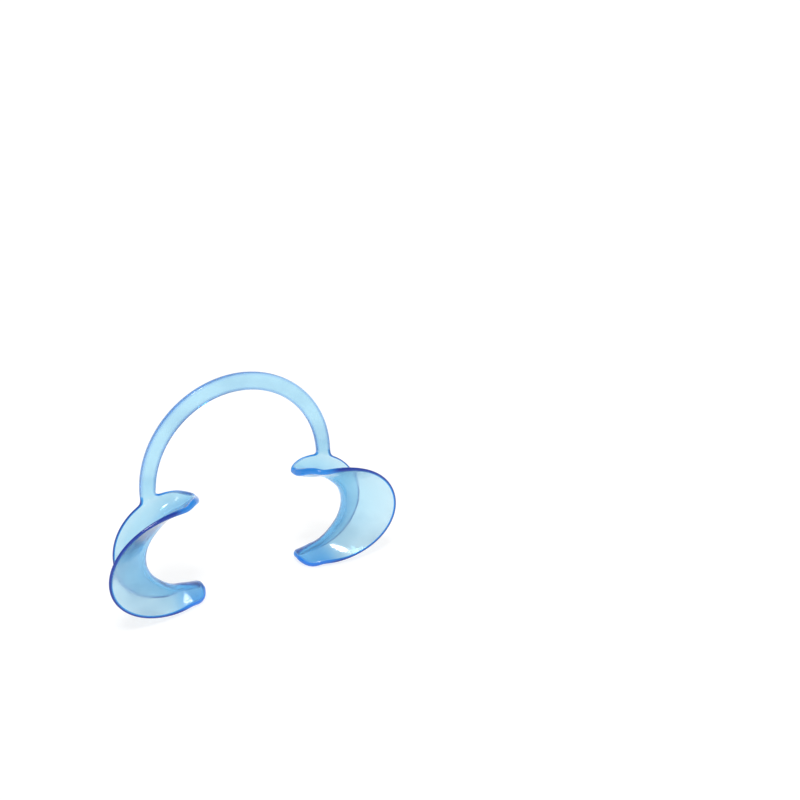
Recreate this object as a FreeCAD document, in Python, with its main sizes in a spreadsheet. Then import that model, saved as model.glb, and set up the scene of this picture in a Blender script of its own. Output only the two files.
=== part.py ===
"""Cheek retractor, small size: one clear-blue moulding of two lip saddles joined by a flat spring bow.

Millimetres, +Z up. X runs from the left saddle to the right one and -Y is the mouth side. The origin is
under the middle of the retractor, on the surface that the two saddles stand on. The right side is
modelled and the left side is its mirror image. The moulding is divided into its working regions: the
bow halves, their roots, and each saddle's web, two flanges and two tongues.
"""
import FreeCAD, Part
import math
import os

import Sketcher

doc = FreeCAD.newDocument("CheekRetractor")
V = FreeCAD.Vector

# ---------------------------------------------------------------- driving dimensions
SIZES = {
    "saddle_out": 22.7,         # saddle axis from the middle plane
    "saddle_up": 17.35,         # saddle axis above the standing surface
    "crest_back": 2.5,          # crest of the web behind the middle of the depth
    "web_path": 11.8,           # crest of the web from the saddle axis
    "web_round": 3.6,           # radius of the channel's bottom
    "tongue_round": 4.3,        # radius of a tongue's hollow
    "tongue_rise": 3.0,         # how much further out the tongues run than the web
    "tongue_length": 6.6,       # tongue beyond the saddle axis
    "tongue_back": 1.2,         # how far a tongue's end leans back
    "web_wall": 1.8,
    "rim_wall": 1.0,            # the flanges thin out to their rims
    "tongue_wall": 2.4,
    "mouth_depth": 10.2,        # mouth-side rim in front of the crest
    "mouth_shift": 3.3,         # centre of the mouth-side outline from the saddle axis
    "mouth_side": 21.7,         # half axes of the mouth-side outline: outwards, up and down
    "mouth_top": 16.85,
    "mouth_low": 15.9,
    "lip_depth": 3.8,           # lip-side rim behind the crest
    "lip_shift": 2.3,
    "lip_side": 16.7,
    "lip_top": 16.7,
    "lip_low": 16.4,
    "web_half": 2.0,            # the web region reaches this far each side of the crest
    "bow_radius": 32.0,         # outside of the bow
    "bow_above": 18.0,          # centre of the bow above the saddle axis
    "bow_inner": 27.2,          # inside of the bow
    "bow_drop": 0.8,            # the inside arc's centre lies this much lower, so the crown is wider
    "bow_back": 4.8,            # middle of the bow behind the crest
    "bow_wall": 1.9,
    "bow_edge": 0.45,           # edge rounding of the bow
    "root_down": 1.7,           # bow root, down from the bow's centre to the end of its flare
    "root_flare": 1.2,
    "root_foot": 0.6,           # foot of the root, let into the saddle
    "hinge_radius": 2.75,       # round end of the left half at the crown
    "hinge_gap": 0.1,
    "hinge_relief": 24.0,       # degrees of relief beside the round end, above and below it
}

# The section stations of a saddle: angle about the saddle axis (90 is up), how far along the tongue,
# share of the change from web to tongue, share of the change from the rim outlines to the tongue's own
# curve, part of the wall, and parts of the mouth and lip rims' depths.
STATIONS = [
    ("LowerEnd", -90, 1.0, 1.1, 1.0, 0.35, 0.08, 0.10),
    ("LowerTip", -90, 0.91, 1.1, 1.0, 0.83, 0.14, 0.18),
    ("LowerNose", -90, 0.78, 1.06, 0.99, 1.0, 0.26, 0.38),
    ("LowerSpoon", -90, 0.62, 0.95, 0.84, 1.0, 0.41, 0.71),
    ("LowerTongue", -90, 0.37, 0.77, 0.42, 1.0, 0.54, 1.01),
    ("LowerNeck", -90, 0.0, 0.5, 0.0, 1.0, 0.62, 1.24),
    ("LowerShoulder", -68, 0.0, 0.26, 0.0, 1.0, 0.79, 1.16),
    ("LowerFlank", -45, 0.0, 0.0, 0.0, 1.0, 0.91, 1.08),
    ("LowerSide", -22, 0.0, 0.0, 0.0, 1.0, 0.98, 1.04),
    ("Middle", 0, 0.0, 0.0, 0.0, 1.0, 1.0, 1.0),
    ("UpperSide", 22, 0.0, 0.0, 0.0, 1.0, 1.0, 1.04),
    ("UpperFlank", 45, 0.0, 0.0, 0.0, 1.0, 0.99, 1.08),
    ("UpperShoulder", 68, 0.0, 0.26, 0.0, 1.0, 0.93, 1.12),
    ("UpperNeck", 90, 0.0, 0.5, 0.0, 1.0, 0.79, 1.16),
    ("UpperTongue", 90, 0.37, 0.77, 0.42, 1.0, 0.62, 0.97),
    ("UpperSpoon", 90, 0.62, 0.95, 0.84, 1.0, 0.44, 0.69),
    ("UpperNose", 90, 0.78, 1.06, 0.99, 1.0, 0.26, 0.37),
    ("UpperTip", 90, 0.91, 1.1, 1.0, 0.83, 0.14, 0.18),
    ("UpperEnd", 90, 1.0, 1.1, 1.0, 0.35, 0.08, 0.10),
]

sheet = doc.addObject("Spreadsheet::Sheet", "Sizes")
for row, (word, value) in enumerate(SIZES.items(), start=1):
    sheet.set(f"A{row}", word)
    sheet.set(f"B{row}", str(value))
    sheet.setAlias(f"B{row}", word)
doc.recompute()


def cells(text):
    """Put the sheet's name in front of every alias in an expression."""
    for word in sorted(SIZES, key=len, reverse=True):
        text = text.replace(f"<{word}>", f"Sizes.{word}")
    return text


def value_of(text):
    """The number an expression of cells gives, for the sketch's first shape."""
    probe.setExpression("Length", cells(text))
    probe.recompute()
    return probe.Length.Value


probe = doc.addObject("Part::Box", "Probe")


def new_body(name):
    body = doc.addObject("PartDesign::Body", name)
    body.Label = name
    return body


def new_sketch(body, name, role, offsets, tilt=None):
    """A sketch on one of the body's origin planes, moved by expressions and tilted about its own X."""
    sketch = body.newObject("Sketcher::SketchObject", name)
    plane = next(f for f in body.Origin.OriginFeatures if f.Role == role)
    sketch.AttachmentSupport = [(plane, "")]
    sketch.MapMode = "FlatFace"
    if tilt is not None:
        turn = FreeCAD.Rotation(V(1, 0, 0), tilt)
        sketch.AttachmentOffset = FreeCAD.Placement(V(), turn)
    for axis, text in offsets.items():
        sketch.setExpression(f"AttachmentOffset.Base.{axis}", cells(text))
    return sketch


def bind(sketch, constraint, text):
    """Add a sketch dimension and bind it to the sheet."""
    index = sketch.addConstraint(constraint)
    sketch.setExpression(f"Constraints[{index}]", cells(text))


# ---------------------------------------------------------------- saddle
def rim_reach(side, angle):
    """Distance from the saddle axis to an elliptical rim outline, along a ray at the given angle."""
    c, s = f"cos({angle}deg)", f"sin({angle}deg)"
    wide, shift = f"<{side}_side>", f"<{side}_shift>"
    high = f"<{side}_top>" if angle > 0 else f"<{side}_low>"
    quad = f"(({c}/{wide})^2 + ({s}/{high})^2)"
    lean = f"({c}*{shift}/{wide}^2)"
    return f"(({lean} + sqrt({lean}^2 + {quad}*(1 - ({shift}/{wide})^2)))/{quad})"


def section_terms(station):
    """Expressions for one section: crest, bottom radius, half walls, and each rim's depth and reach."""
    name, angle, along, share, spoon, full, mouth, lip = station
    crest = f"(<web_path> + {share}*<tongue_rise>)"
    bottom = f"(<web_round> + {share}*(<tongue_round> - <web_round>))"
    web, edge = (f"({full}*({wall} + {min(share, 1)}*(<tongue_wall> - {wall}))/2)"
                 for wall in ("<web_wall>", "<rim_wall>"))
    rims = []
    for side, part in (("mouth", mouth), ("lip", lip)):
        depth = f"({part}*<{side}_depth>)"
        reach = rim_reach(side, angle)
        if spoon:
            reach = f"((1 - {spoon})*{reach} + {spoon}*({crest} + 0.375*{depth}^2/{bottom}))"
        rims.append((depth, reach))
    return crest, bottom, web, edge, rims


def saddle_section(body, station):
    """A U-shaped wall section: round bottom, two straight flanges tangent to it, full-round rims."""
    name, angle, along = station[:3]
    crest, bottom, web, edge, rims = section_terms(station)
    offsets = {"x": f"<crest_back> + {along}^2*<tongue_back>", "y": "<saddle_up>",
               "z": f"<saddle_out> - {along}*<tongue_length>"}
    sketch = new_sketch(body, name, "YZ_Plane", offsets, 90 - angle)

    r, w, e = (value_of(text) for text in (bottom, web, edge))
    centre = V(0, value_of(crest) + r, 0)
    outer, inner, ends = [], [], []
    for sign, (depth, reach) in zip((-1, 1), rims):
        end = V(sign * value_of(depth), value_of(reach), 0)
        far = end - centre
        aim = math.atan2(abs(far.x), -far.y)
        outer.append(sign * (aim - math.acos((r + w - e) / far.Length)) - math.pi / 2)
        inner.append(sign * (aim - math.acos((r - w + e) / far.Length)) - math.pi / 2)
        ends.append(end)

    def arc(mid, radius, start, stop):
        return sketch.addGeometry(Part.ArcOfCircle(Part.Circle(mid, V(0, 0, 1), radius), start, stop))

    def flank(first, first_radius, second, second_radius, way):
        ray = V(math.cos(way), math.sin(way), 0)
        return sketch.addGeometry(Part.LineSegment(first + ray * first_radius, second + ray * second_radius))

    under = arc(centre, r + w, *outer)
    lip_under = flank(centre, r + w, ends[1], e, outer[1])
    lip_rim = arc(ends[1], e, outer[1], inner[1] + math.pi)
    lip_over = flank(ends[1], -e, centre, r - w, inner[1])
    over = arc(centre, r - w, *inner)
    mouth_over = flank(centre, r - w, ends[0], -e, inner[0])
    mouth_rim = arc(ends[0], e, inner[0] + math.pi, outer[0] + 2 * math.pi)
    mouth_under = flank(ends[0], e, centre, r + w, outer[0])
    joins = [(under, 2, lip_under, 1), (lip_under, 2, lip_rim, 1), (lip_rim, 2, lip_over, 1),
             (lip_over, 2, over, 2), (over, 1, mouth_over, 1), (mouth_over, 2, mouth_rim, 1),
             (mouth_rim, 2, mouth_under, 1), (mouth_under, 2, under, 1)]
    for first, first_end, second, second_end in joins:
        sketch.addConstraint(Sketcher.Constraint("Tangent", first, first_end, second, second_end))
    sketch.addConstraint(Sketcher.Constraint("Coincident", over, 3, under, 3))
    sketch.addConstraint(Sketcher.Constraint("PointOnObject", under, 3, -2))
    bind(sketch, Sketcher.Constraint("DistanceY", -1, 1, under, 3, centre.y), f"{crest} + {bottom}")
    bind(sketch, Sketcher.Constraint("Radius", under, r + w), f"{bottom} + {web}")
    bind(sketch, Sketcher.Constraint("Radius", over, r - w), f"{bottom} - {web}")
    for rim, end, (depth, reach) in zip((mouth_rim, lip_rim), ends, rims):
        across = ("DistanceX", rim, 3, -1, 1) if end.x < 0 else ("DistanceX", -1, 1, rim, 3)
        bind(sketch, Sketcher.Constraint(*across, abs(end.x)), depth)
        bind(sketch, Sketcher.Constraint("DistanceY", -1, 1, rim, 3, end.y), reach)
        bind(sketch, Sketcher.Constraint("Radius", rim, e), edge)
    return sketch


def make_saddle():
    """One saddle: the sections lofted round the corner of the mouth, from tongue tip to tongue tip."""
    body = new_body("Saddle")
    sections = [saddle_section(body, station) for station in STATIONS]
    doc.recompute()
    loft = body.newObject("PartDesign::AdditiveLoft", "SaddleLoft")
    loft.Profile = sections[0]
    loft.Sections = sections[1:]
    doc.recompute()
    return body


def region(name, low, high):
    """A box between two corners, each coordinate an expression."""
    box = doc.addObject("Part::Box", name)
    for axis, size, a, b in zip("xyz", ("Length", "Width", "Height"), low, high):
        box.setExpression(f"Placement.Base.{axis}", cells(a))
        box.setExpression(size, cells(f"({b}) - ({a})"))
    return box


def common(label, base, tool):
    part = doc.addObject("Part::Common", label)
    part.Base = base
    part.Tool = tool
    part.Label = label
    return part


def cut(label, base, tool):
    part = doc.addObject("Part::Cut", label)
    part.Base = base
    part.Tool = tool
    part.Label = label
    return part


def saddle_parts(saddle):
    """Divide the saddle into its web, its two flanges and its two tongues."""
    inner, outer = "<saddle_out>", "2*<saddle_out> + 10"
    front, back = "-20", "20"
    web_front, web_back = "<crest_back> - <web_half>", "<crest_back> + <web_half>"
    low, axis, high = "-10", "<saddle_up>", "<saddle_up> + 30"
    limits = {
        "right_mouth_flange": ((inner, front, low), (outer, web_front, high)),
        "right_web": ((inner, web_front, low), (outer, web_back, high)),
        "right_lip_flange": ((inner, web_back, low), (outer, back, high)),
        "right_upper_tongue": (("1", front, axis), (inner, back, high)),
        "right_lower_tongue": (("1", front, low), (inner, back, axis)),
    }
    return [common(label, saddle, region(f"Region_{label}", *corners)) for label, corners in limits.items()]


# ---------------------------------------------------------------- bow
def bow_plate(body, name, draw, wall="<bow_wall>"):
    """A flat plate in the bow's plane: draw() adds the outline, in X and in height above the bow's centre."""
    offsets = {"y": "<saddle_up> + <bow_above>", "z": "-(<crest_back> + <bow_back>)"}
    sketch = new_sketch(body, name, "XZ_Plane", offsets)
    draw(sketch)
    doc.recompute()
    pad = body.newObject("PartDesign::Pad", f"{name}Pad")
    pad.Profile = sketch
    pad.setExpression("Length", cells(wall))
    pad.Midplane = True
    doc.recompute()
    return pad


def close_loop(sketch, count):
    for i in range(count):
        sketch.addConstraint(Sketcher.Constraint("Coincident", i, 2, (i + 1) % count, 1))


def draw_bow(sketch):
    """The half ring from one root to the other, a little wider at the crown than at its ends."""
    outer, inner, drop = SIZES["bow_radius"], SIZES["bow_inner"], SIZES["bow_drop"]
    lean = math.asin(drop / inner)
    ends = (inner * math.cos(lean), outer)
    up = V(0, 0, 1)
    sketch.addGeometry(Part.ArcOfCircle(Part.Circle(V(), up, outer), 0, math.pi))
    sketch.addGeometry(Part.LineSegment(V(-ends[1], 0, 0), V(-ends[0], 0, 0)))
    sketch.addGeometry(Part.ArcOfCircle(Part.Circle(V(0, -drop, 0), up, inner), lean, math.pi - lean))
    sketch.addGeometry(Part.LineSegment(V(ends[0], 0, 0), V(ends[1], 0, 0)))
    for first, first_end, second, second_end in ((0, 2, 1, 1), (1, 2, 2, 2), (2, 1, 3, 1), (3, 2, 0, 1)):
        sketch.addConstraint(Sketcher.Constraint("Coincident", first, first_end, second, second_end))
    sketch.addConstraint(Sketcher.Constraint("Coincident", 0, 3, -1, 1))
    sketch.addConstraint(Sketcher.Constraint("PointOnObject", 2, 3, -2))
    for line in (1, 3):
        sketch.addConstraint(Sketcher.Constraint("PointOnObject", line, 1, -1))
        sketch.addConstraint(Sketcher.Constraint("PointOnObject", line, 2, -1))
    bind(sketch, Sketcher.Constraint("Radius", 0, outer), "<bow_radius>")
    bind(sketch, Sketcher.Constraint("Radius", 2, inner), "<bow_inner>")
    bind(sketch, Sketcher.Constraint("DistanceY", 2, 3, -1, 1, drop), "<bow_drop>")


def make_bow():
    body = new_body("Bow")
    pad = bow_plate(body, "BowOutline", draw_bow)
    faces = [f"Face{i}" for i, f in enumerate(pad.Shape.Faces, 1) if abs(f.normalAt(0, 0).y) > 0.99]
    fillet = body.newObject("PartDesign::Fillet", "BowEdges")
    fillet.Base = (pad, faces)
    fillet.setExpression("Radius", cells("<bow_edge>"))
    doc.recompute()
    return body


def draw_root(sketch):
    """The end of the bow, which runs straight down and flares into the lip-side rim."""
    inner = math.sqrt(SIZES["bow_inner"] ** 2 - SIZES["bow_drop"] ** 2)
    outer, down, flare, foot = (SIZES[word] for word in ("bow_radius", "root_down", "root_flare", "root_foot"))
    up = V(0, 0, 1)
    turn = flare - down
    corners = [V(inner, 0, 0), V(outer, 0, 0), V(outer, turn, 0), V(outer + flare, -down, 0),
               V(outer + flare, -down - foot, 0), V(inner - flare, -down - foot, 0),
               V(inner - flare, -down, 0), V(inner, turn, 0)]
    centres = {2: (V(outer + flare, turn, 0), math.pi), 6: (V(inner - flare, turn, 0), 1.5 * math.pi)}
    for i, corner in enumerate(corners):
        if i in centres:
            centre, start = centres[i]
            sketch.addGeometry(Part.ArcOfCircle(Part.Circle(centre, up, flare), start, start + math.pi / 2))
        else:
            sketch.addGeometry(Part.LineSegment(corner, corners[(i + 1) % 8]))
    for i in range(8):
        joint = "Tangent" if i in (1, 6) else "Coincident"
        sketch.addConstraint(Sketcher.Constraint(joint, i, 2, (i + 1) % 8, 1))
    sketch.addConstraint(Sketcher.Constraint("Vertical", 2, 2, 2, 3))
    sketch.addConstraint(Sketcher.Constraint("Vertical", 6, 1, 6, 3))
    for line in (1, 3, 5, 7):
        sketch.addConstraint(Sketcher.Constraint("Vertical", line))
    for line in (0, 4):
        sketch.addConstraint(Sketcher.Constraint("Horizontal", line))
    sketch.addConstraint(Sketcher.Constraint("PointOnObject", 0, 1, -1))
    for curve in (2, 6):
        bind(sketch, Sketcher.Constraint("Radius", curve, flare), "<root_flare>")
        bind(sketch, Sketcher.Constraint("DistanceY", curve, 3, -1, 1, -turn), "<root_down> - <root_flare>")
    bind(sketch, Sketcher.Constraint("DistanceX", -1, 1, 0, 1, inner), "sqrt(<bow_inner>^2 - <bow_drop>^2)")
    bind(sketch, Sketcher.Constraint("DistanceX", -1, 1, 0, 2, outer), "<bow_radius>")
    bind(sketch, Sketcher.Constraint("DistanceY", 4, 1, -1, 1, down + foot), "<root_down> + <root_foot>")


def make_root(saddle):
    """The bow's root, cut back to the saddle that it grows from."""
    body = new_body("Root")
    bow_plate(body, "RootOutline", draw_root)
    return cut("right_bow_root", body, saddle)


CROWN_UP = "<saddle_up> + <bow_above> + (<bow_radius> + <bow_inner> - <bow_drop>)/2"
BOW_Y = "<crest_back> + <bow_back>"


def crown_disc(name, radius, wall):
    """A disc about the flexing axis, which crosses the crown in the middle of the bow's width."""
    disc = doc.addObject("Part::Cylinder", name)
    disc.Placement = FreeCAD.Placement(V(), FreeCAD.Rotation(V(1, 0, 0), 90))
    disc.setExpression("Radius", cells(radius))
    disc.setExpression("Height", cells(wall))
    disc.setExpression("Placement.Base.y", cells(f"{BOW_Y} + ({wall})/2"))
    disc.setExpression("Placement.Base.z", cells(CROWN_UP))
    return disc


def draw_relief(sketch):
    """A waisted strip that frees the right half above and below the round end, so that it can turn."""
    crown = (SIZES["bow_radius"] + SIZES["bow_inner"] - SIZES["bow_drop"]) / 2
    reach = 4
    wide = reach * math.tan(math.radians(SIZES["hinge_relief"]))
    points = [V(-1, crown - reach, 0), V(wide, crown - reach, 0), V(0.1, crown, 0),
              V(wide, crown + reach, 0), V(-1, crown + reach, 0)]
    for start, stop in zip(points, points[1:] + points[:1]):
        sketch.addGeometry(Part.LineSegment(start, stop))
    close_loop(sketch, 5)
    sketch.addConstraint(Sketcher.Constraint("Vertical", 4))
    height = "(<bow_radius> + <bow_inner> - <bow_drop>)/2"
    flank = f"{reach}*tan(<hinge_relief>*1deg)"
    heights = (f"{height} - {reach}", height, f"{height} + {reach}")
    for corner, across, tall in zip((1, 2, 3), (flank, "0.1", flank), heights):
        bind(sketch, Sketcher.Constraint("DistanceX", -1, 1, corner, 1, points[corner].x), across)
        bind(sketch, Sketcher.Constraint("DistanceY", -1, 1, corner, 1, points[corner].y), tall)
    for line in (0, 3):
        sketch.addConstraint(Sketcher.Constraint("Horizontal", line))
    bind(sketch, Sketcher.Constraint("DistanceX", 0, 1, -1, 1, 1), "1")


def make_bow_halves(bow):
    """The left half ends in a round knuckle, and the right half in a socket that clears it as it flexes."""
    back = ("-20", "20")
    left_side = region("LeftSide", ("-60", back[0], "0"), ("0", back[1], "120"))
    right_side = region("RightSide", ("0", back[0], "0"), ("60", back[1], "120"))
    left = doc.addObject("Part::Fuse", "left_bow_half")
    left.Base = common("LeftArc", bow, left_side)
    left.Tool = crown_disc("Knuckle", "<hinge_radius>", "<bow_wall>")
    left.Label = "left_bow_half"
    relief = new_body("Relief")
    bow_plate(relief, "ReliefOutline", draw_relief, "<bow_wall> + 2")
    socket = crown_disc("Socket", "<hinge_radius> + <hinge_gap>", "<bow_wall> + 2")
    freed = cut("FreedArc", common("RightArc", bow, right_side), relief)
    return left, cut("right_bow_half", freed, socket)


def mirrored(part):
    """The same piece on the left side."""
    twin = doc.addObject("Part::Mirroring", part.Label.replace("right", "left"))
    twin.Source = part
    twin.Base = V()
    twin.Normal = V(1, 0, 0)
    twin.Label = part.Label.replace("right", "left")
    return twin


# ---------------------------------------------------------------- assembly
saddle = make_saddle()
right_parts = saddle_parts(saddle) + [make_root(saddle)]
nodes = list(make_bow_halves(make_bow())) + right_parts
doc.recompute()
nodes += [mirrored(part) for part in right_parts]
doc.recompute()

for item in doc.Objects:
    if {"Invalid", "Error"} & set(item.State):
        raise RuntimeError(f"{item.Name} did not compute: {item.State}")
os.makedirs("parts", exist_ok=True)
for node in nodes:
    shape = node.Shape
    if shape.isNull() or not shape.isValid() or len(shape.Solids) != 1:
        raise RuntimeError(f"{node.Label} is not one valid solid")
    shape.exportStep(f"parts/{node.Label}.step")
    box = shape.BoundBox
    print(f"{node.Label:20s} {shape.Volume:8.1f} mm3  x {box.XMin:7.2f} {box.XMax:7.2f}"
          f"  y {box.YMin:6.2f} {box.YMax:6.2f}  z {box.ZMin:6.2f} {box.ZMax:6.2f}")
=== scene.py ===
"""Cheek retractor, small size: visual model and studio scene. Metres, in the CAD model's frame.

The retractor is one sheet of clear blue plastic: two saddles joined by a flat bow. The middle surface of
the sheet is laid out as quads, first in millimetres, then given its wall and rounded rims and subdivided
into one closed mesh, which bends with the CAD bodies as the bow flexes.
"""
import math

import bmesh
import bpy
from mathutils import Matrix, Vector
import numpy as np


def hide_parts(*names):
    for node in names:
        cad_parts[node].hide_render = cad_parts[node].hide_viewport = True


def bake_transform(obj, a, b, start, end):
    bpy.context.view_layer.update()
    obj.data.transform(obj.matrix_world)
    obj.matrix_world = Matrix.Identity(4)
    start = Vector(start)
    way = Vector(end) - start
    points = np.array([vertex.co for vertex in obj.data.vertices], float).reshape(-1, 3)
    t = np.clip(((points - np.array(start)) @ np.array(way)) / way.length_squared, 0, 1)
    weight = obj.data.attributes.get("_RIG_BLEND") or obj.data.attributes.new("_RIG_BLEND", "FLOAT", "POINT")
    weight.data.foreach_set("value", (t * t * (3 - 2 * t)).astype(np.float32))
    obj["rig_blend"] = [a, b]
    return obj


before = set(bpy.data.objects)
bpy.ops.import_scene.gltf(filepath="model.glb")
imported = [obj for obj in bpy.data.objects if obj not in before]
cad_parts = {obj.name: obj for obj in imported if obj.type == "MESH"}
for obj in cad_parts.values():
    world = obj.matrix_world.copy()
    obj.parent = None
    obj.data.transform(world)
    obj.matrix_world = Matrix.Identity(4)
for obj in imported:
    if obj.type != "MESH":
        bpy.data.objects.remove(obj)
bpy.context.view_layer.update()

MM = 0.001

# ---------------------------------------------------------------- the moulding's dimensions, in mm
SADDLE_OUT, SADDLE_UP = 22.7, 17.35         # saddle axis from the middle plane, and above the floor
CREST_BACK = 2.5                            # crest of the web behind the origin
WEB_PATH, WEB_ROUND = 11.8, 3.6             # crest from the saddle axis, and radius of the channel's bottom
TONGUE_ROUND, TONGUE_RISE, TONGUE_LENGTH = 4.3, 3.0, 5.5
WEB_WALL, RIM_WALL, TONGUE_WALL, BOW_WALL = 1.8, 1.0, 2.4, 1.9
MOUTH_RIM = {"side": 21.7, "top": 16.85, "low": 15.9, "shift": 3.3, "depth": 10.2}
LIP_RIM = {"side": 16.7, "top": 16.7, "low": 16.4, "shift": 2.3, "depth": 3.8}
# parts of a rim's depth at the neck and at the tongue's end, and how late the neck and the end come
MOUTH_ENDS = {"upper": (0.79, 0.48, 4.0, 2.6), "lower": (0.62, 0.50, 2.1, 2.6)}
LIP_ENDS = {"upper": (1.16, 1.0, 1.0, 2.0), "lower": (1.24, 1.0, 1.5, 2.0)}
BOW_RADIUS, BOW_INNER, BOW_DROP = 32.0, 27.2, 0.8
BOW_ABOVE, BOW_BACK = 18.0, 4.8             # centre of the bow above the saddle axis, and behind the crest
ROOT_OUT, ROOT_IN = 0.5, 1.6                # flare of the bow's root on its outer and inner side

# ---------------------------------------------------------------- how finely the sheet is laid out
TONGUE_ROWS = (0.25, 0.5, 0.72, 0.88, 0.975)
SADDLE_ROWS, NECK_ROWS, BOW_COLUMNS, BOW_ROWS = 20, 2, 3, 22
MOUTH_COLUMNS, LIP_COLUMNS, ARC_COLUMNS = 6, 4, 3
ROUND_RIM = ((0.53, 0.92), (1.0, 0.43))     # out from the edge and up from the middle, in half walls
SQUARE_RIM = ((0.62, 1.0), (1.0, 0.70))
WELD = 0.001
SHEET_LAYERS = ("half_wall", "bow", "rim_shade", "deep")     # what each vertex of the middle surface holds
SOLID_LAYERS = ("rim", "edge", "deep")                  # what each vertex of the closed sheet holds

# ---------------------------------------------------------------- looks
BODY_TINT = (0.87, 0.93, 0.925, 1)
RIM_STOPS = (0.1, 0.6)                      # shares of rim at which the painted rim shade is bright blue, then navy
# painted shade: the rims' bright blue and navy are painted in, for the dark edges that light running inside
# the clear walls gives
PAINTED_RIM_BRIGHT, PAINTED_RIM_NAVY = (0.02, 0.34, 0.88, 1), (0.0, 0.03, 0.36, 1)
RIM_SHARE_BOW, RIM_SHARE_TONGUE = 0.07, 0.17    # how much of the full painted rim shade the bow and the tongues show
EDGE_SHARE_BOW = 0.3                        # the bow's rims scatter less than the saddles' rims, so less painted rim shade shows
RIM_SHADE_FADES = 62                             # degrees round the saddle at which the painted navy rim shade starts to fade
# painted shade: the first colour is a deeper blue painted on the thick tongues and the crest; the second is
# a cloudy tint that varies at random
DEEP_PAINTED_SHADE, CLOUD_TINT = (0.25, 0.62, 0.97, 1), (0.79, 0.84, 0.89, 1)
DEEP_UPPER, DEEP_LOWER, DEEP_CREST = 0.25, 0.9, 0.3    # painted shade: deeper blue on the thick tongues and the crest
BODY_CLEAR, RIM_CLEAR = 0.92, 0.15          # the rest scatters as diffuse colour, which in the rims is the painted rim shade
# painted light: a faint blue glow from the whole plastic, standing in for light gathered inside it
PAINTED_GLOW, PAINTED_GLOW_COLOUR = 0.03, (0.02, 0.35, 0.9, 1)
PLASTIC_IOR = 1.58
DYE_COLOUR, DYE_DENSITY = (0.0, 0.72, 0.97, 1), 320.0   # red goes first; absorption per metre
SHINE = (0.08, 0.2)                         # roughness of the clearest and the haziest patches
CLOUD_SCALE, HAZE_SCALE, PEEL_SCALE, FLOW_SCALE = 60, 140, 260, 90      # bumps a metre
PEEL_STRENGTH, PEEL_DEPTH, FLOW_STRENGTH, FLOW_DEPTH = 0.06, 0.0004, 0.15, 0.001
FLOOR_RADIUS, FLOOR_GREY, FLOOR_GLOW = 6.0, 0.33, 0.76
WORLD_LOW, WORLD_HIGH, WORLD_FADE = 1.1, 0.5, (0.08, 0.5)   # brightness, and heights between which it fades
SOFT_BOXES = (("front", -155, 65, 15, 1.15), ("side", 80, 61, 5, 0.11))   # bearing, height, width, strength
LIGHT_BOUNCES = 32
RANGE_SOCKETS = ("From Min", "From Max", "To Min", "To Max")


def smooth(x):
    x = min(max(x, 0.0), 1.0)
    return x * x * (3 - 2 * x)


def lerp(a, b, t):
    return a + (b - a) * t


# ---------------------------------------------------------------- saddle
def rim_reach(rim, angle):
    """Distance from the saddle axis to an elliptical rim outline, along a ray."""
    c, s = math.cos(angle), math.sin(angle)
    quad = (c / rim["side"]) ** 2 + (s / rim["top" if angle > 0 else "low"]) ** 2
    lean = c * rim["shift"] / rim["side"] ** 2
    return (lean + math.sqrt(lean ** 2 + quad * (1 - (rim["shift"] / rim["side"]) ** 2))) / quad


def lip_angle(x):
    """Angle about the saddle axis, above the level, at which the lip-side rim stands at this x."""
    low, high = 0.0, math.pi / 2
    for _ in range(40):
        middle = (low + high) / 2
        if SADDLE_OUT + rim_reach(LIP_RIM, middle) * math.cos(middle) > x:
            low = middle
        else:
            high = middle
    return low


def depth_share(ends, angle, along):
    """A rim's part of its full depth, from the middle of the saddle to the end of a tongue."""
    neck, end, late, blunt = ends["upper" if angle > 0 else "lower"]
    turn = abs(angle) / (math.pi / 2)
    return lerp(lerp(1, neck, turn ** late), end, along) * (1 - along ** blunt) ** (1 / blunt)


def flank(crest, bottom, depth, reach, count):
    """Up one side of a section: round the channel's bottom, then straight along the flange."""
    centre = crest + bottom
    far = math.hypot(depth, reach - centre)
    turn = math.atan2(depth, centre - reach) - math.acos(min(1.0, bottom / far))
    arc = []
    for k in range(1, ARC_COLUMNS + 1):
        way = turn * k / ARC_COLUMNS
        arc.append((bottom * math.sin(way), centre - bottom * math.cos(way)))
    start = arc[-1]
    return arc + [(lerp(start[0], depth, k / count), lerp(start[1], reach, k / count))
                  for k in range(1, count + 1)]


def section(angle, along):
    """The middle line of a wall section, from mouth rim to lip rim, and half its wall."""
    turn = abs(math.degrees(angle))
    share = 0.5 * smooth((turn - 45) / 45) + 0.6 * along
    crest = WEB_PATH + share * TONGUE_RISE
    bottom = lerp(WEB_ROUND, TONGUE_ROUND, share)
    sides = []
    for rim, ends, count in ((MOUTH_RIM, MOUTH_ENDS, MOUTH_COLUMNS), (LIP_RIM, LIP_ENDS, LIP_COLUMNS)):
        depth = depth_share(ends, angle, along) * rim["depth"]
        reach = lerp(rim_reach(rim, angle), crest + 0.375 * depth ** 2 / bottom, smooth(along))
        sides.append(flank(crest, bottom, depth, reach, count))
    line = [(-y, q) for y, q in reversed(sides[0])] + [(0.0, crest)] + sides[1]
    out = SADDLE_OUT - along * TONGUE_LENGTH
    web, rim = (lerp(wall, TONGUE_WALL, min(share, 1)) / 2 for wall in (WEB_WALL, RIM_WALL))
    halves = [lerp(rim, web, k / MOUTH_COLUMNS) for k in range(MOUTH_COLUMNS)]
    halves += [web] * (2 * ARC_COLUMNS + 1)
    halves += [lerp(web, rim, k / LIP_COLUMNS) for k in range(1, LIP_COLUMNS + 1)]
    return [(out + q * math.cos(angle), CREST_BACK + y + 0.9 * along ** 2,
             SADDLE_UP + q * math.sin(angle), half) for (y, q), half in zip(line, halves)]


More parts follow.
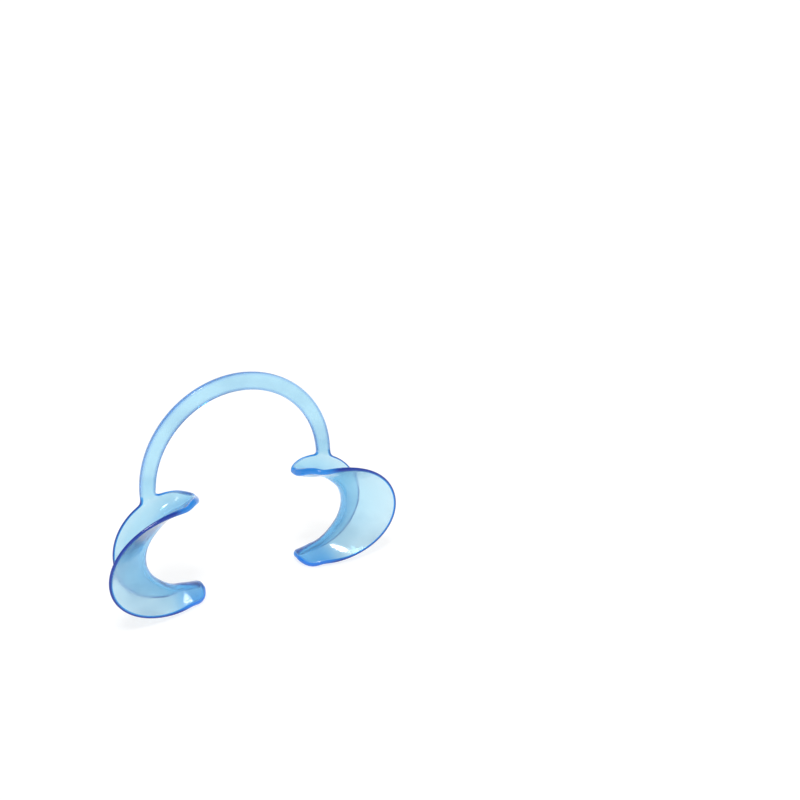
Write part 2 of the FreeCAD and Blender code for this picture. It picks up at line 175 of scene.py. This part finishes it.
def saddle_rows():
    """Angle and part of the tongue for each row, and the numbers of the rows that the bow grows from."""
    half = BOW_WALL / 2
    outer, inner = BOW_RADIUS - half + ROOT_OUT, BOW_INNER + half - ROOT_IN
    bow = [lip_angle(lerp(outer, inner, k / BOW_COLUMNS)) for k in range(BOW_COLUMNS + 1)]
    quarter = math.pi / 2
    angles = [lerp(-quarter, bow[0], k / SADDLE_ROWS) for k in range(SADDLE_ROWS)] + bow
    angles += [lerp(bow[-1], quarter, k / NECK_ROWS) for k in range(1, NECK_ROWS + 1)]
    rows = [(-quarter, along) for along in reversed(TONGUE_ROWS)] + [(angle, 0.0) for angle in angles]
    first = len(TONGUE_ROWS) + SADDLE_ROWS
    return rows + [(quarter, along) for along in TONGUE_ROWS], range(first, first + BOW_COLUMNS + 1)


# ---------------------------------------------------------------- the sheet's middle surface
def bow_rows():
    """The bow's rows from its root up to the crown: points from its outer edge to its inner edge."""
    half = BOW_WALL / 2
    rows = []
    for k in range(BOW_ROWS + 1):
        way = math.pi / 2 * k / BOW_ROWS
        row = []
        for column in range(BOW_COLUMNS + 1):
            t = column / BOW_COLUMNS
            radius = lerp(BOW_RADIUS - half, BOW_INNER + half, t)
            up = SADDLE_UP + BOW_ABOVE - BOW_DROP * t
            row.append((radius * math.cos(way), CREST_BACK + BOW_BACK, up + radius * math.sin(way), half))
        rows.append(row)
    return rows


def saddle_looks(angle):
    """A row's share of the painted navy rim shade, and its share of painted deeper-blue shade at each
    column, from mouth to lip.
    """
    near_tongue = smooth((abs(math.degrees(angle)) - RIM_SHADE_FADES) / (90 - RIM_SHADE_FADES))
    front = near_tongue * (DEEP_UPPER if angle > 0 else DEEP_LOWER)
    crest, last = MOUTH_COLUMNS + ARC_COLUMNS, MOUTH_COLUMNS + 2 * ARC_COLUMNS + LIP_COLUMNS
    deep = [front * (1 - k / last) + (1 - front) * DEEP_CREST * smooth(1 - abs(k - crest) / ARC_COLUMNS)
            for k in range(last + 1)]
    return lerp(1, RIM_SHARE_TONGUE, near_tongue), deep


def lay_sheet():
    """Quads for both halves, welded at the crown. Each vertex holds half its wall and its looks: shares of
    painted rim shade and painted deeper-blue shade.
    """
    sheet = bmesh.new()
    wall, bow_share, rim_shade_layer, deep_share = (sheet.verts.layers.float.new(name) for name in SHEET_LAYERS)
    rows, root = saddle_rows()

    def vertex(point, side, bow, rim_shade, deep):
        made = sheet.verts.new((side * point[0], point[1], point[2]))
        made[wall], made[bow_share], made[rim_shade_layer], made[deep_share] = point[3], bow, rim_shade, deep
        return made

    def quads(first, second):
        for a, b, c, d in zip(first, first[1:], second[1:], second):
            sheet.faces.new((a, b, c, d))

    for side in (1, -1):
        grid = []
        for angle, along in rows:
            rim_shade, deep = saddle_looks(angle)
            grid.append([vertex(point, side, 0.0, rim_shade, share)
                         for point, share in zip(section(angle, along), deep)])
        for first, second in zip(grid, grid[1:]):
            quads(first, second)
        last = [grid[i][-1] for i in root]
        for row in bow_rows():
            new = [vertex(point, side, 1.0, RIM_SHARE_BOW, 0.0) for point in row]
            quads(last, new)
            last = new
    bmesh.ops.remove_doubles(sheet, verts=sheet.verts, dist=WELD)
    bmesh.ops.recalc_face_normals(sheet, faces=sheet.faces)
    sheet.normal_update()
    return sheet


# ---------------------------------------------------------------- wall and rims
def outward(vertex):
    """Unit direction away from the sheet, in its surface, at a vertex on its edge."""
    total = Vector()
    for edge in vertex.link_edges:
        if edge.is_boundary:
            along = (edge.verts[1].co - edge.verts[0].co).normalized()
            way = along.cross(vertex.normal)
            middle = (edge.verts[0].co + edge.verts[1].co) / 2
            if way.dot(middle - edge.link_faces[0].calc_center_median()) < 0:
                way.negate()
            total += way.normalized()
    return total.normalized()


def thicken(sheet):
    """The closed sheet: a front and a back half a wall from the middle surface, and a rounded rim."""
    wall, bow_share, rim_shade, deep_share = (sheet.verts.layers.float[name] for name in SHEET_LAYERS)
    solid = bmesh.new()
    rim_part, edge_part, deep_part = (solid.verts.layers.float.new(name) for name in SOLID_LAYERS)
    strips = {}
    for v in sheet.verts:
        half, bow = v[wall], v[bow_share]
        steps = [(0.0, 1.0), (0.0, -1.0)]
        out = Vector()
        if v.is_boundary:
            out = outward(v)
            rim = [(lerp(a[0], b[0], bow), lerp(a[1], b[1], bow)) for a, b in zip(ROUND_RIM, SQUARE_RIM)]
            steps[1:1] = rim + [(o, -u) for o, u in reversed(rim)]
        strip = []
        for o, u in steps:
            made = solid.verts.new(v.co + out * (o * half) + v.normal * (u * half))
            # painted shade: each rim vertex takes its share of painted rim shade and of painted deeper-blue
            # shade, and turns opaque to show it
            made[rim_part], made[deep_part] = o * v[rim_shade], v[deep_share]
            made[edge_part] = o * lerp(1, EDGE_SHARE_BOW, bow)
            strip.append(made)
        strips[v] = strip
    for face in sheet.faces:
        solid.faces.new([strips[v][0] for v in face.verts])
        solid.faces.new([strips[v][-1] for v in reversed(face.verts)])
    for edge in sheet.edges:
        if edge.is_boundary:
            first, second = (strips[v] for v in edge.verts)
            for a, b, c, d in zip(first, first[1:], second[1:], second):
                solid.faces.new((a, b, c, d))
    bmesh.ops.recalc_face_normals(solid, faces=solid.faces)
    return solid


def make_retractor():
    """The whole retractor as one subdivided closed mesh, in metres."""
    sheet = lay_sheet()
    solid = thicken(sheet)
    sheet.free()
    bmesh.ops.scale(solid, vec=(MM, MM, MM), verts=solid.verts)
    cage = bpy.data.meshes.new("retractor_cage")
    solid.to_mesh(cage)
    solid.free()
    piece = bpy.data.objects.new("retractor", cage)
    bpy.context.scene.collection.objects.link(piece)
    piece.modifiers.new("smooth", "SUBSURF").levels = 2
    bpy.context.view_layer.update()
    mesh = bpy.data.meshes.new_from_object(piece.evaluated_get(bpy.context.evaluated_depsgraph_get()))
    piece.modifiers.clear()
    piece.data = mesh
    bpy.data.meshes.remove(cage)
    mesh.name = "retractor"
    mesh.polygons.foreach_set("use_smooth", [True] * len(mesh.polygons))
    return piece


# ---------------------------------------------------------------- material
def node(material, kind, **inputs):
    """A shader node with some of its inputs set."""
    made = material.node_tree.nodes.new(kind)
    for name, value in inputs.items():
        made.inputs[name.replace("_", " ")].default_value = value
    return made


def noise(material, where, scale, detail, stretch=(1, 1, 1)):
    """Noise over the piece itself, in bumps a metre; stretch squeezes it along an axis."""
    links = material.node_tree.links
    mapping = node(material, "ShaderNodeMapping", Scale=stretch)
    links.new(where, mapping.inputs["Vector"])
    made = node(material, "ShaderNodeTexNoise", Scale=scale, Detail=detail)
    links.new(mapping.outputs["Vector"], made.inputs["Vector"])
    return made.outputs["Fac"]


def remap(material, value, low, high, to_low, to_high):
    """A value from low..high carried to to_low..to_high, held at the ends."""
    made = material.node_tree.nodes.new("ShaderNodeMapRange")
    for name, number in zip(RANGE_SOCKETS, (low, high, to_low, to_high)):
        made.inputs[name].default_value = number
    material.node_tree.links.new(value, made.inputs["Value"])
    return made.outputs["Result"]


def attribute(material, name):
    """What the mesh's vertices hold under this name."""
    made = material.node_tree.nodes.new("ShaderNodeAttribute")
    made.attribute_name = name
    return made.outputs["Fac"]


def multiply(material, colour, by, share):
    """A colour multiplied by another, as far as the share says."""
    made = material.node_tree.nodes.new("ShaderNodeMix")
    made.data_type, made.blend_type = "RGBA", "MULTIPLY"
    made.inputs["B"].default_value = by
    material.node_tree.links.new(colour, made.inputs["A"])
    material.node_tree.links.new(share, made.inputs["Factor"])
    return made.outputs["Result"]


def plastic_colour(material, where):
    """Pale in the sheets, then painted shade of bright blue and navy in the rims, painted deeper-blue shade
    in the tongues, a little cloudy.
    """
    # painted shade: bright blue, then navy, painted into the rims
    ramp = material.node_tree.nodes.new("ShaderNodeValToRGB")
    stops = ramp.color_ramp.elements
    stops[0].color, stops[1].color = BODY_TINT, PAINTED_RIM_NAVY
    stops[1].position = RIM_STOPS[1]
    middle = stops.new(RIM_STOPS[0])
    middle.color = PAINTED_RIM_BRIGHT
    material.node_tree.links.new(attribute(material, "rim"), ramp.inputs["Fac"])
    # painted shade: deeper blue on the thick tongues and the crest
    colour = multiply(material, ramp.outputs["Color"], DEEP_PAINTED_SHADE, attribute(material, "deep"))
    cloud = remap(material, noise(material, where, CLOUD_SCALE, 3), 0.42, 0.62, 0, 1)
    return multiply(material, colour, CLOUD_TINT, cloud)


def surface_bumps(material, where):
    """Faint orange peel, and the longer ripples that the plastic left as it flowed into the mould."""
    peel = node(material, "ShaderNodeBump", Strength=PEEL_STRENGTH, Distance=PEEL_DEPTH)
    flow = node(material, "ShaderNodeBump", Strength=FLOW_STRENGTH, Distance=FLOW_DEPTH)
    links = material.node_tree.links
    links.new(noise(material, where, PEEL_SCALE, 3), peel.inputs["Height"])
    links.new(noise(material, where, FLOW_SCALE, 2, (1, 1, 0.25)), flow.inputs["Height"])
    links.new(peel.outputs["Normal"], flow.inputs["Normal"])
    return flow.outputs["Normal"]


def clear_blue():
    """Clear blue polycarbonate: the dye absorbs red most; the rims' deep blue is painted shade, and a faint
    blue glow is painted light.
    """
    material = bpy.data.materials.new("clear_blue_plastic")
    material.use_nodes = True
    nodes, links = material.node_tree.nodes, material.node_tree.links
    shader = nodes["Principled BSDF"]
    shader.inputs["IOR"].default_value = PLASTIC_IOR
    # painted light: the plastic glows faintly blue though it is no lamp
    shader.inputs["Emission Color"].default_value = PAINTED_GLOW_COLOUR
    shader.inputs["Emission Strength"].default_value = PAINTED_GLOW
    where = nodes.new("ShaderNodeTexCoord").outputs["Object"]
    # the rims turn mostly diffuse, so their painted shade shows as colour
    clear = remap(material, attribute(material, "edge"), 0.05, 0.5, BODY_CLEAR, RIM_CLEAR)
    haze = remap(material, noise(material, where, HAZE_SCALE, 4), 0.35, 0.7, *SHINE)
    links.new(plastic_colour(material, where), shader.inputs["Base Color"])
    links.new(clear, shader.inputs["Transmission Weight"])
    links.new(haze, shader.inputs["Roughness"])
    links.new(surface_bumps(material, where), shader.inputs["Normal"])
    dye = node(material, "ShaderNodeVolumeAbsorption", Density=DYE_DENSITY)
    dye.inputs["Color"].default_value = DYE_COLOUR
    links.new(dye.outputs["Volume"], nodes["Material Output"].inputs["Volume"])
    return material


# ---------------------------------------------------------------- studio
def make_floor():
    bpy.ops.mesh.primitive_circle_add(vertices=96, radius=FLOOR_RADIUS, fill_type="NGON")
    floor = bpy.context.object
    floor.name = "studio_floor"
    material = bpy.data.materials.new("studio_floor")
    material.use_nodes = True
    shader = material.node_tree.nodes["Principled BSDF"]
    shader.inputs["Base Color"].default_value = (FLOOR_GREY, FLOOR_GREY, FLOOR_GREY, 1)
    shader.inputs["Roughness"].default_value = 0.95
    shader.inputs["Specular IOR Level"].default_value = 0.1
    shader.inputs["Emission Color"].default_value = (1, 1, 1, 1)
    shader.inputs["Emission Strength"].default_value = FLOOR_GLOW
    floor.data.materials.append(material)


def make_world():
    """White at the level of the floor, fading to a grey room overhead."""
    world = bpy.data.worlds.new("studio")
    world.use_nodes = True
    nodes, links = world.node_tree.nodes, world.node_tree.links
    way = nodes.new("ShaderNodeSeparateXYZ")
    links.new(nodes.new("ShaderNodeTexCoord").outputs["Generated"], way.inputs["Vector"])
    fade = nodes.new("ShaderNodeMapRange")
    fade.interpolation_type = "SMOOTHSTEP"
    for name, number in zip(RANGE_SOCKETS, WORLD_FADE + (WORLD_LOW, WORLD_HIGH)):
        fade.inputs[name].default_value = number
    links.new(way.outputs["Z"], fade.inputs["Value"])
    links.new(fade.outputs["Result"], nodes["Background"].inputs["Strength"])
    nodes["Background"].inputs["Color"].default_value = (1, 1, 1, 1)
    bpy.context.scene.world = world


def make_lights():
    """Distant round soft boxes, each as wide as its angle in the sky."""
    for name, bearing, height, width, strength in SOFT_BOXES:
        data = bpy.data.lights.new(name, "SUN")
        data.angle, data.energy = math.radians(width), strength
        light = bpy.data.objects.new(name, data)
        turn, up = math.radians(bearing), math.radians(height)
        place = Vector((math.sin(turn) * math.cos(up), math.cos(turn) * math.cos(up), math.sin(up)))
        light.location = place
        light.rotation_euler = place.to_track_quat("Z", "Y").to_euler()
        bpy.context.scene.collection.objects.link(light)


CAMERA_PLACE = (-0.11865, -0.25742, 0.17099)
CAMERA_AZIMUTH, CAMERA_DOWN, CAMERA_ROLL = (math.radians(a) for a in (33.94, 21.34, 0.47))
CAMERA_LENS = 45.99


def make_camera():
    data = bpy.data.cameras.new("camera")
    data.sensor_width, data.lens = 36, CAMERA_LENS
    data.clip_start, data.clip_end = 0.01, 20
    camera = bpy.data.objects.new("camera", data)
    turn = (Matrix.Rotation(-CAMERA_AZIMUTH, 4, "Z") @ Matrix.Rotation(math.pi / 2 - CAMERA_DOWN, 4, "X")
            @ Matrix.Rotation(CAMERA_ROLL, 4, "Z"))
    camera.matrix_world = Matrix.Translation(CAMERA_PLACE) @ turn
    bpy.context.scene.collection.objects.link(camera)
    bpy.context.scene.camera = camera
    bpy.context.scene.view_settings.view_transform = "Standard"


def let_light_through():
    """Enough bounces for light that runs along inside the clear walls before it leaves."""
    cycles = bpy.context.scene.cycles
    cycles.max_bounces = cycles.glossy_bounces = cycles.transmission_bounces = LIGHT_BOUNCES


retractor = make_retractor()
retractor.data.materials.clear()
retractor.data.materials.append(clear_blue())
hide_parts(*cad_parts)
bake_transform(retractor, "left_half", "right_half", start=(-0.025, 0, 0.065), end=(0.025, 0, 0.065))
make_floor()
make_world()
make_lights()
make_camera()
